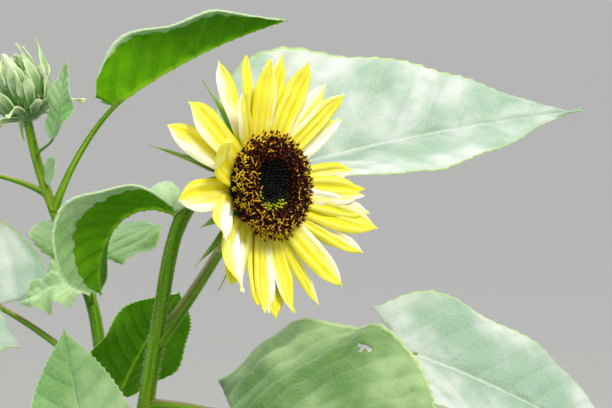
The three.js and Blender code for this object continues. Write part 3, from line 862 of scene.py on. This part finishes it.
# Green cup and bracts: leafy green, matt with short stiff hairs, a darker foot and a paler edge
def bract_skin(name, deep, pale, foot, edge):
    material, tree, shader = new_material(
        name, Roughness=0.55, IOR=1.4, Subsurface_Weight=0.25, Subsurface_Scale=0.0015,
        Sheen_Weight=0.3,
    )
    flat = add_node(tree, "ShaderNodeAttribute", {"attribute_name": "straight"}, {}).outputs["Vector"]
    to_tip, margin = (
        add_node(tree, "ShaderNodeAttribute", {"attribute_name": read}, {}).outputs["Fac"]
        for read in ("to_tip", "margin")
    )
    lines = textured(tree, flat, 1.1, 2, (0.12, 1, 1))
    clouds = textured(tree, flat, 9, 3)
    green = tinted(tree, deep, pale, clouds, 0.3, 0.7)
    lined = tinted(tree, green, "#bfd684", lines, 0.45, 0.7, 0, 0.5)
    rooted = tinted(tree, foot, lined, to_tip, 0.1, 0.75)
    edged = tinted(tree, rooted, edge, margin, 0.65, 0.95, 0, 0.7)
    surfaced(tree, shader, edged, lines, 0.3)
    return material


bract_green = bract_skin("bract_skin", "#4f8421", "#7fae3c", "#3f701a", "#7fa83c")

cup = turned_piece("green_cup", GREEN_CUP, 64, 3, bloom_places, bract_green)
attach(cup, "root")
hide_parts("flower_receptacle")

bract_outline = tongue_outline(0.8, 0.2, 1.05, 1.25)
# Each bract's place round the clock, lift, length, half width and backward bend
BRACTS = [
    (0, -14, 27, 4, 14), (18, -26, 34, 4, 24), (36, -18, 28, 4.2, 14), (54, -28, 30, 4, 26),
    (71, -8, 26, 4.2, 14), (88, -12, 22, 3, 12), (105, -14, 40, 3.4, 12), (124, -10, 24, 4, 14),
    (138, -16, 22, 4, 20), (152, -14, 40, 2.6, 22), (170, -12, 20, 4, 16), (188, -18, 19, 4, 20),
    (207, -22, 18, 4, 16), (226, -14, 30, 3.4, 12), (238, -30, 19, 4, 20), (250, -14, 34, 2.8, 14),
    (273, -34, 34, 4, 26), (285, -20, 28, 4.2, 14), (309, -24, 31, 4, 26), (332, -16, 28, 4, 14),
]


def bract(i):
    clock, lift, length, half, bend = BRACTS[i]
    form = dict(
        TONGUE, length=length, half=half, thick=BRACT_TISSUE, outline=bract_outline, pleat=0.3,
        pleats=1, twist=25 * math.sin(1.7 * i), crimp=0.5, droop=bend, fold=14, number=i,
    )
    return lambda plate: tongue_places(plate, clock, 0, lift, BRACT_ROOT, BRACT_DEPTHS[i % 2], form)


bracts, _ = tongues_piece(
    "bloom_bracts", [bract(i) for i in range(len(BRACTS))], *BRACT_GRID, bract_green
)
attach(bracts, "root")
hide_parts("flower_receptacle")

# Rays. Thin, soft straps of lemon yellow, pleated lengthwise, each rooted under the disc's rim.
# A ray's row gives its place round the clock, its lean from there, its lift towards the viewer,
# its length, half width and forward bend, its twist, and how much of it is painted near white as sun
# glare, from its right edge if that is below zero and from its left edge if above.
RAY_ROOT = 22.5
RAY_DEPTHS = (-5.2, -6.6)
RAYS = [
    (2, 0, 4, 41, 6.5, 8, 14, -0.7), (26, -1, 2, 47, 6, 4, 0, -0.8),
    (38, -1, 10, 49, 6.5, 6, 10, 0.2), (46, -6, 2, 51, 6.5, 2, 0, 0.7),
    (60, 0, 7, 49, 8, 8, 0, -0.1), (74, -2, 4, 47, 6.5, 6, 0, 0.2), (86, -3, 8, 42, 8, 8, 0, -0.25),
    (95, -1, 4, 44, 5.5, 6, 10, -0.3), (109, 0, 14, 30, 5.5, 10, 0, 0.3),
    (110, -5, -2, 45, 5.5, 2, -20, 0.7), (135, 0, 0, 42, 8, 4, 0, 0.35),
    (149, -3, -8, 43, 7, 4, -15, 0.55), (160, -16, -4, 42, 10.5, 96, 0, -0.1),
    (-179, -1, 2, 38, 8.5, 6, 0, 0.45), (-172, 32, 22, 33, 7.5, 10, 0, 0.95),
    (-146, 38, 12, 40, 9, 4, -20, 0.9), (-136, 22, 0, 33, 8.5, 0, 0, 0.05),
    (-109, 6, 6, 38, 6, 2, 0, 0.1), (-101, -1, 6, 42, 6.5, 4, 15, 0.4),
    (-92, -2, 5, 45, 8, 4, 0, 0.05), (-84, -3, 8, 44, 6.5, 4, -10, -0.25),
    (-66, 1, 2, 49, 5, 4, 0, 0.45), (-54, 0, 8, 48, 7.5, 8, 8, 0.35),
    (-36, 2, 10, 52, 5.5, 4, 0, 0.5), (-40, 10, -2, 46, 4.5, 0, 0, 0.1),
    (-22, -2, 12, 54, 8, 10, 0, 0.2), (-15, -4, 11, 48, 6.5, 8, 0, 0.55),
    (-9, 0, 14, 43, 8, 12, 6, -0.4),
]
RAY_TISSUE = 0.35
RAY_GRID = (56, 22)
RAY_RIDGES = 3
# The rays that are creased or scooped, and those with a broad, notched tip
RAY_CREASES = {
    12: dict(fold=24, crimp=2.0), 13: dict(fold=16), 14: dict(fold=-14, crimp=1.6),
    15: dict(fold=-16, crimp=2.0),
}
BLUNT_TIPS = {1: 0.25, 14: 0.3, 15: 0.25, 18: 0.35, 20: 0.35, 27: 0.45}
ray_body = tongue_outline(0.75, 0.52, 2.5)


def ray_outline(blunt):
    """The tongue's outline with its tip cut square at a share of its width and notched in two."""
    def outline(s, q):
        x, share = ray_body(s, q)
        notch = blunt * 0.09 * s**12 * (1 + np.cos(2 * math.pi * q))
        return x - notch, np.maximum(share, blunt * (s > 0.8))
    return outline


def ray(i):
    clock, lean, lift, length, half, bend, twist, _ = RAYS[i]
    form = dict(
        TONGUE, length=length, half=half, thick=RAY_TISSUE, pleat=0.55, pleats=RAY_RIDGES,
        outline=ray_outline(BLUNT_TIPS.get(i, 0.1)), twist=twist, crimp=0.8, cup=0.4, droop=-bend,
        lumps=1.3, number=i,
    )
    form.update(RAY_CREASES.get(i, {}))
    return lambda plate: tongue_places(plate, clock, lean, lift, RAY_ROOT, RAY_DEPTHS[i % 2], form)


# Ray tissue: satin and translucent. It is a deep lemon at the foot and paler to the tip, with painted
# highlight along the ridges, painted shade greener in the grooves, and painted sun glare almost white
# where the sun has caught it.
def ray_skin():
    material, tree, shader = new_material(
        "ray_tissue", Roughness=0.42, IOR=1.4, Subsurface_Weight=0.3, Subsurface_Scale=0.0012,
        Subsurface_Radius=(1.0, 0.9, 0.2), Sheen_Weight=0.1,
    )
    flat = add_node(tree, "ShaderNodeAttribute", {"attribute_name": "straight"}, {}).outputs["Vector"]
    to_tip, ridge, painted_glare = (
        add_node(tree, "ShaderNodeAttribute", {"attribute_name": read}, {}).outputs["Fac"]
        for read in ("to_tip", "ridge", "painted_glare")
    )
    lines = textured(tree, flat, 1.5, 2, (0.04, 1, 1))
    fine = textured(tree, flat, 0.5, 1, (0.05, 1, 1))
    raised, streaky_glare = (
        add_node(tree, "ShaderNodeMath", {"operation": "MULTIPLY_ADD"}, {0: lines, 1: share, 2: added})
        for share, added in ((1.6, ridge), (0.8, painted_glare))
    )
    yellow = tinted(tree, "#e6d800", "#ebe228", to_tip, 0.05, 0.9)
    # Painted highlight along the pleats' ridges, and painted shade in their grooves
    ridge_highlit = tinted(tree, yellow, "#f4ee7e", raised.outputs[0], 1.2, 2.0, 0, 0.7)
    groove_shaded = tinted(tree, ridge_highlit, "#c2bc00", raised.outputs[0], 0.95, 0.6, 0, 0.45)
    deepened = tinted(tree, groove_shaded, "#c4b800", fine, 0.38, 0.28, 0, 0.3)
    # Painted sun glare: the sunlit parts of the rays turn pale and then almost white
    half_glared = tinted(tree, deepened, "#f6f08c", streaky_glare.outputs[0], 0.6, 1.1, 0, 0.75)
    pale = tinted(tree, half_glared, "#fdfae2", streaky_glare.outputs[0], 1.0, 1.4, 0, 0.95)
    surfaced(tree, shader, pale, lines, 0.25)
    return material


def ray_marks(i, plate):
    """How far up a ridge each of a ray's unit points lies, and how much painted sun glare whitens it,
    from 0 to 1.
    """
    s = plate[:, 0] + 0.5
    q = plate[:, 1] * 2
    share = RAYS[i][-1]
    side = math.copysign(1, share)
    white = (abs(share) - 0.5 + 0.5 * side * q) * 1.6 + 0.45
    white += 0.25 * roughened(s * 40, q * 6, 9, i + 0.2)
    ridge = 0.5 + 0.5 * np.cos(RAY_RIDGES * math.pi * q + 0.5 * np.sin(3 * s + i))
    return ridge, white.clip(0, 1) * ((s - 0.04) / 0.2).clip(0, 1)


ray_yellow = ray_skin()
rays, ray_plates = tongues_piece(
    "bloom_rays", [ray(i) for i in range(len(RAYS))], *RAY_GRID, ray_yellow
)
ray_ridges, ray_whites = zip(*(ray_marks(i, plate) for i, plate in enumerate(ray_plates)))
mark(rays.data, "ridge", np.concatenate(ray_ridges))
mark(rays.data, "painted_glare", np.concatenate(ray_whites))
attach(rays, "root")
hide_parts("flower_rays")

# Disc. A shallow dark dome packed with some 640 tiny flowers on a sunflower's double spiral. Those
# in the middle are still shut, almost black, and green low down. Round them stand opened maroon ones
# with orange pollen, and the oldest ones, on the rim, lean out and show their yellow lobes.
DISC_DOME = [
    (0, -4), (21, -4), (24, -3), (25, -1.4), (24.6, 0.8), (23.4, 2.4), (20, 3.1), (15, 2), (9, 0.4),
    (0, -0.4),
]
FLORET_COUNT = 640
FLORET_REACH = 25
CROWDING = 0.61
SPIRAL_ANGLE = math.radians(137.508)
SHUT_RADIUS = 12.8
RIM_RADIUS = 21.8


def plain_skin(name, colour, spots, **settings):
    """Living tissue of one colour, mottled with a second one at a fraction of a millimetre."""
    material, tree, shader = new_material(name, **settings)
    place = add_node(tree, "ShaderNodeTexCoord", {}, {}).outputs["Object"]
    mottle = textured(tree, place, 0.5 * MM, 2)
    mottled = tinted(tree, colour, spots, mottle, 0.4, 0.65)
    tree.links.new(mottled, shader.inputs["Base Color"])
    return material


# Each skin's name, its colour, its spots' colour, its roughness and its shine
DISC_SKINS = [
    ("disc_chaff", "#060201", "#140703", 0.9, 0.1),
    ("shut_floret", "#010101", "#040408", 0.5, 0.2),
    ("shut_floret_olive", "#060900", "#2c3406", 0.6, 0.2),
    ("shut_floret_green", "#6a7000", "#d2d022", 0.6, 0.3),
    ("corolla_brown", "#1e0500", "#7a3c04", 0.6, 0.15),
    ("corolla_yellow", "#d9b400", "#f6dc14", 0.6, 0.3),
    ("anther_maroon", "#0c0101", "#300608", 0.5, 0.2),
    ("pollen_orange", "#b86404", "#f0b41e", 0.9, 0.5),
    ("stigma_brown", "#803404", "#e28c22", 0.6, 0.2),
]
(
    chaff_brown, shut_black, shut_olive, shut_green, corolla_brown, corolla_yellow, anther_maroon,
    pollen_orange, stigma_brown,
) = (
    plain_skin(name, colour, spots, Roughness=rough, Specular_IOR_Level=shine)
    for name, colour, spots, rough, shine in DISC_SKINS
)

dome = turned_piece("disc_dome", DISC_DOME, 72, 2, bloom_places, chaff_brown)
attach(dome, "root")
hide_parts("flower_disc")


def combined(*shapes):
    """Several small shapes in one mesh, the first with material 0, the next with 1, and so on."""
    whole = bmesh.new()
    for index, shape in enumerate(shapes):
        bmesh.ops.recalc_face_normals(shape, faces=shape.faces[:])
        for face in shape.faces:
            face.material_index = index
        part = mesh_of("part", shape)
        whole.from_mesh(part)
        bpy.data.meshes.remove(part)
    return mesh_of("pattern", whole)


def curled_arm(axis, thick):
    """A fine arm along an axis, three-sided and drawn to a point."""
    bm = bmesh.new()
    add_cylinder(bm, 3, 5)
    bm.verts.ensure_lookup_table()
    unit = np.array([v.co for v in bm.verts])
    places, _, _ = limb_places(unit, axis, lambda share, *_: thick * lerp(1, 0.35, share))
    for vert, place in zip(bm.verts, places):
        vert.co = place
    return bm


def leaning_frame(direction, spin):
    """A turn that carries Z to a direction, after a spin about Z."""
    return Vector(direction).to_track_quat("Z", "X").to_matrix() @ Matrix.Rotation(spin, 3, "Z")


def joined_copies(name, pattern, places, turns, scales, *materials):
    """One piece of many turned and scaled copies of a small mesh, at places in millimetres."""
    unit = points_of(pattern)
    turns = np.array(turns) * np.array(scales)[:, None, None]
    points = np.einsum("cij,nj->cni", turns, unit) + np.array(places)[:, None, :]
    count, size = len(places), len(unit)
    corners, starts, slots = (
        np.array([getattr(element, field) for element in elements], np.int32)
        for elements, field in (
            (pattern.loops, "vertex_index"), (pattern.polygons, "loop_start"),
            (pattern.polygons, "material_index"),
        )
    )
    copies = np.arange(count, dtype=np.int32)[:, None]
    mesh = bpy.data.meshes.new(name)
    mesh.vertices.add(count * size)
    mesh.loops.add(count * len(corners))
    mesh.polygons.add(count * len(starts))
    mesh.vertices.foreach_set("co", (points * MM).astype(np.float32).ravel())
    mesh.loops.foreach_set("vertex_index", (corners + copies * size).ravel())
    mesh.polygons.foreach_set("loop_start", (starts + copies * len(corners)).ravel())
    for material in materials:
        mesh.materials.append(material)
    mesh.polygons.foreach_set("material_index", np.tile(slots, count))
    mesh.update(calc_edges=True)
    mesh.shade_smooth()
    made = bpy.data.objects.new(name, mesh)
    bpy.context.collection.objects.link(made)
    return made


def star_rim(bm, height, spread, rise):
    """Draws every other corner of the ring at a height out into a lobe."""
    ring = sorted(
        (v for v in bm.verts if abs(v.co.z - height) < 0.01 and math.hypot(v.co.x, v.co.y) > 0.6),
        key=lambda v: math.atan2(v.co.y, v.co.x),
    )
    for vert in ring[::2]:
        vert.co = (vert.co.x * spread, vert.co.y * spread, vert.co.z + rise)


def corolla(spread, rise):
    bm = turned([(0, 0), (0.5, 0), (0.42, 1.4), (0.75, 2.5), (0.4, 2.2), (0, 2.1)], 10)
    star_rim(bm, 2.5, spread, rise)
    return bm


def stigma_arms(height, thick, reach):
    t = np.linspace(0, 1, 20)[:, None]
    curl = 2.8 * t
    arms = []
    for way in (-1, 1):
        out = way * 0.8 * reach * (1 - np.cos(curl))
        axis = np.hstack([out, 0.1 * t, height + reach * np.sin(curl)])
        arms.append(curled_arm(evenly(axis, 21), thick))
    return arms


# The profiles of a shut flower and of the tubes of anthers in the opened ones
SHUT_FLORET = [(0, 0), (0.6, 0), (0.7, 0.8), (0.5, 1.6), (0.2, 1.9), (0, 1.9)]
ANTHERS = [(0, 1.2), (0.5, 1.2), (0.58, 3.4), (0.44, 4.5), (0, 4.7)]
RIM_ANTHERS = [(0, 1.5), (0.45, 1.5), (0.5, 3.4), (0.36, 4.1), (0, 4.2)]
shut_pattern = combined(turned(SHUT_FLORET, 7))
open_pattern = combined(corolla(1.6, 0.2), turned(ANTHERS, 7), *stigma_arms(4.4, 0.18, 0.4))
pollen_pattern = combined(corolla(1.7, 0.4), turned(ANTHERS, 7), *stigma_arms(4.4, 0.3, 0.65))
rim_pattern = combined(corolla(2.5, 0.8), turned(RIM_ANTHERS, 6), *stigma_arms(4.0, 0.2, 0.6))
FLORETS = {
    "shut": (shut_pattern, shut_black),
    "shut_olive": (shut_pattern, shut_olive),
    "shut_green": (shut_pattern, shut_green),
    "brown": (open_pattern, corolla_brown, anther_maroon, stigma_brown, stigma_brown),
    "golden": (pollen_pattern, corolla_brown, anther_maroon, pollen_orange, corolla_yellow),
    "rim": (rim_pattern, corolla_yellow, corolla_brown, pollen_orange, corolla_yellow),
    "rim_brown": (rim_pattern, corolla_brown, anther_maroon, pollen_orange, stigma_brown),
}
kinds = {kind: [] for kind in FLORETS}
# The florets' lean in degrees, in the middle and at the rim, and how far each sits in the dome
LEANS = (-6, 36)
FLORET_SUNK = 0.3
# Shut ones are tinged green low down, from these radii out. The pollen is real, but it is dealt out
# mostly on the lit side as painted highlight, and less at the top
OLIVE_RADIUS = 6.5
GREEN_RADIUS = 8.6
LIT_POLLEN_SIDE = math.radians(235)
dome_radii, dome_heights = zip(*DISC_DOME[:3:-1])
spiral = random.Random(7)
for n in range(FLORET_COUNT):
    radius = FLORET_REACH * ((n + 0.5) / FLORET_COUNT) ** CROWDING
    around = n * SPIRAL_ANGLE
    height = np.interp(radius, dome_radii, dome_heights) - FLORET_SUNK
    past_rim = max(0, radius / RIM_RADIUS - 1) / 0.12
    lean = math.radians(lerp(*LEANS, radius / RIM_RADIUS) + 20 * past_rim)
    lean += spiral.gauss(0, 0.15)
    around_lean = around + spiral.gauss(0, 0.25)
    sky = (
        math.sin(lean) * math.cos(around_lean), math.sin(lean) * math.sin(around_lean), math.cos(lean),
    )
    turn = np.array(leaning_frame(sky, spiral.uniform(0, 2 * math.pi)))
    place = np.array((radius * math.cos(around), radius * math.sin(around), height))
    edge = SHUT_RADIUS + spiral.gauss(0, 0.7)
    if radius < edge:
        low = math.sin(around + 0.25)
        kind = "shut"
        if low < -0.1 and radius > OLIVE_RADIUS:
            kind = "shut_olive"
        if low < -0.5 and radius > GREEN_RADIUS and spiral.random() < 0.8:
            kind = "shut_green"
    elif radius < RIM_RADIUS:
        # Painted highlight: pollen-tipped golden florets crowd the lit side; fewer stand at the top
        sunny = 0.2 * (math.cos(around - LIT_POLLEN_SIDE) > 0.2)
        golden = lerp(0.3, 0.7, (radius - SHUT_RADIUS) / 10) + sunny - 0.3 * (math.sin(around) > 0.5)
        kind = "golden" if spiral.random() < golden else "brown"
    else:
        kind = "rim" if spiral.random() < 0.65 else "rim_brown"
    size = 1.0 if radius < edge else 1.0 + 0.15 * (kind == "golden")
    kinds[kind].append((place, turn, size * spiral.uniform(0.8, 1.2)))
bloom_turn = np.array((bloom_axes[1], bloom_axes[2], bloom_axes[0])).T
for kind, (pattern, *skins) in FLORETS.items():
    local, turns, scales = zip(*kinds[kind])
    places = bloom_places(np.array(local))
    turns = [bloom_turn @ turn for turn in turns]
    florets = joined_copies("florets_" + kind, pattern, places, turns, scales, *skins)
    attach(florets, "root")
    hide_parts("flower_disc")

# Bud on the side branch. A tight green button of unopened flowers in a ring of long bracts that
# curl in over it, sitting on a short swollen cup at the branch's tip.
BUD_CENTRE = (-10, 124, 1183)
BUD_CUP = [(0, -16), (3, -16), (11, -12), (16, -4), (16, 4), (13, 8), (8, 10.5), (0, 12)]
BUD_TURN = np.array(
    Matrix.Rotation(math.radians(-12), 3, "X") @ Matrix.Rotation(math.radians(-22), 3, "Y")
)
# The whorls of bracts, from the innermost: how many, and each one's root radius, height, length,
# half width, lift and curl. The two long rows of eight are the solid's own, and the others fill the
# gaps.
BUD_WHORLS = [
    (8, 4, 9, 14, 3, 50, 110), (12, 9, 5, 21, 3.2, 66, 95), (13, 13, -2, 28, 3.4, 74, 78),
    (8, 13, -8, 33, 4.2, 76, 56), (8, 15, -8, 38, 4.2, 76, 50), (14, 13, -11, 24, 3.4, 52, 24),
    (10, 8, -14, 26, 3.4, 24, -50),
]
bud_bract_outline = tongue_outline(0.45, 0.38, 1.6, 1.15)


def bud_places(local):
    return local @ BUD_TURN.T + BUD_CENTRE


bud_cup = turned_piece("bud_cup", BUD_CUP, 48, 3, bud_places, bract_green)
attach(bud_cup, "root")
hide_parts("bud")


def bud_bract(whorl, i):
    count, root, height, length, half, lift, curl = BUD_WHORLS[whorl]
    form = dict(
        TONGUE, length=length, half=half, thick=BRACT_TISSUE, pleat=0.4, pleats=1,
        outline=bud_bract_outline, twist=50 * math.sin(1.3 * i + whorl), crimp=1.6,
        droop=-curl - 26 * math.sin(1.7 * i + whorl), fold=24, number=i + 20 * whorl,
    )
    clock = 360 / count * (i + 0.5 * (whorl % 2)) + 7 * math.sin(2.7 * i)
    return lambda plate: tongue_places(
        plate, clock, 0, lift + 9 * math.sin(2.1 * i + whorl), root, height, form
    )


bud_green = bract_skin("bud_bract_skin", "#8cb872", "#d4e8bf", "#3d7020", "#e2eeb0")
bud_leaves, _ = tongues_piece(
    "bud_bracts", [bud_bract(w, i) for w, whorl in enumerate(BUD_WHORLS) for i in range(whorl[0])],
    *BRACT_GRID, bud_green, place=bud_places,
)
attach(bud_leaves, "root")
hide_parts("bud")

# Bristles. The stems, stalks, cup and bracts carry stiff white hairs a millimetre or two long, each
# on its own pore. A real one is a twentieth of a millimetre thick, and is drawn over twice as thick.
BRISTLE_SPACING = 2.3
BRISTLE_RADIUS = 0.06
BRISTLE_LENGTH = 1.5
BRISTLE_SPREAD = 0.3
BRISTLE_RISE = 0.15
bristle_rng = np.random.default_rng(11)
bristle_white = plain_skin("bristle", "#c3cf9c", "#e9efd2", Roughness=0.5, Subsurface_Weight=0.3)
bristle_shape = bmesh.new()
bmesh.ops.create_cone(
    bristle_shape, segments=3, radius1=BRISTLE_RADIUS, radius2=0, depth=1.05,
    matrix=Matrix.Translation((0, 0, 0.475)),
)
bristle = mesh_of("bristle", bristle_shape)


def bristle_piece(name, slot, roots, outward):
    """Bristles that stand out from the roots, leaning a little each way and upwards."""
    aims = outward + bristle_rng.normal(0, BRISTLE_SPREAD, roots.shape) + (0, 0, BRISTLE_RISE)
    aims /= np.linalg.norm(aims, axis=1)[:, None]
    side = np.cross(aims, (0.3, 0.9, 0.2))
    side /= np.linalg.norm(side, axis=1)[:, None]
    turns = np.stack([side, np.cross(aims, side), aims], axis=2)
    lengths = BRISTLE_LENGTH * bristle_rng.uniform(0.5, 1.4, len(roots))
    made = joined_copies(name, bristle, roots, turns, lengths, bristle_white)
    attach(made, "root")


def limb_roots(axis, radius_at, thick, first=0.0):
    """Bristle roots spread over a limb from a first share of its length, and the way out at each."""
    length = np.linalg.norm(np.diff(axis, axis=0), axis=1).sum()
    count = int(length * 2 * math.pi * thick / BRISTLE_SPACING**2)
    angle = bristle_rng.uniform(0, 2 * math.pi, count)
    height = bristle_rng.uniform(first - 0.5, 0.5, count)
    unit = np.stack([np.cos(angle), np.sin(angle), height], axis=1)
    places, _, outward = limb_places(unit, axis, radius_at)
    return places, outward


bristle_piece("stem_bristles", "stem", *limb_roots(stem_axis, stem_radius, 7, 0.02))
bristle_piece("branch_bristles", "stem", *limb_roots(branch_axis, branch_radius, 4))
stalk_roots = [
    limb_roots(axis, lambda share, *_: thick * lerp(*STALK_TAPER, share), thick)
    for axis, thick in stalks
]
bristle_piece("stalk_bristles", "leaves", *(np.vstack(part) for part in zip(*stalk_roots)))
for hairy, count in ((cup, 700), (bracts, 900), (bud_cup, 300), (bud_leaves, 900)):
    places = points_of(hairy.data) / MM
    normals = np.array([v.normal for v in hairy.data.vertices])
    chosen = bristle_rng.integers(0, len(places), count)
    bristle_piece(hairy.name + "_bristles", "bracts", places[chosen], normals[chosen])

# Plain pale floor under the plant, and a soft studio: a big key lamp high on the right, a weaker
# lamp behind that shines through the leaves, and an even pale surround.
FLOOR_SIZE = 160
floor_shape = bmesh.new()
bmesh.ops.create_grid(floor_shape, x_segments=1, y_segments=1, size=FLOOR_SIZE / 2)
floor = bpy.data.objects.new("floor", mesh_of("floor", floor_shape))
bpy.context.collection.objects.link(floor)
floor_paint, _, floor_shader = new_material("floor_paint", Roughness=0.9)
floor_shader.inputs["Base Color"].default_value = linear("#dcdad4")
floor.data.materials.append(floor_paint)


def lamp(name, place, target, size, watts, tint):
    data = bpy.data.lights.new(name, "AREA")
    data.size = size
    data.energy = watts
    data.color = linear(tint)[:3]
    made = bpy.data.objects.new(name, data)
    made.location = place
    made.rotation_euler = (Vector(target) - Vector(place)).to_track_quat("-Z", "Y").to_euler()
    bpy.context.collection.objects.link(made)


lamp("key_lamp", (1.0, -1.0, 2.8), (0.1, 0, 1), 0.7, 44, "#fff8ec")
lamp("back_lamp", (-0.5, 1.5, 2.5), (0.1, 0, 1), 1.0, 26, "#fffbf0")
lamp("fill_lamp", (-1.6, -1.4, 1.4), (0.1, 0, 0.9), 1.6, 10, "#f2f6ff")
world = bpy.data.worlds.new("studio")
world.use_nodes = True
world.node_tree.nodes["Background"].inputs["Color"].default_value = linear("#e6e9ec")
world.node_tree.nodes["Background"].inputs["Strength"].default_value = 0.8
bpy.context.scene.world = world
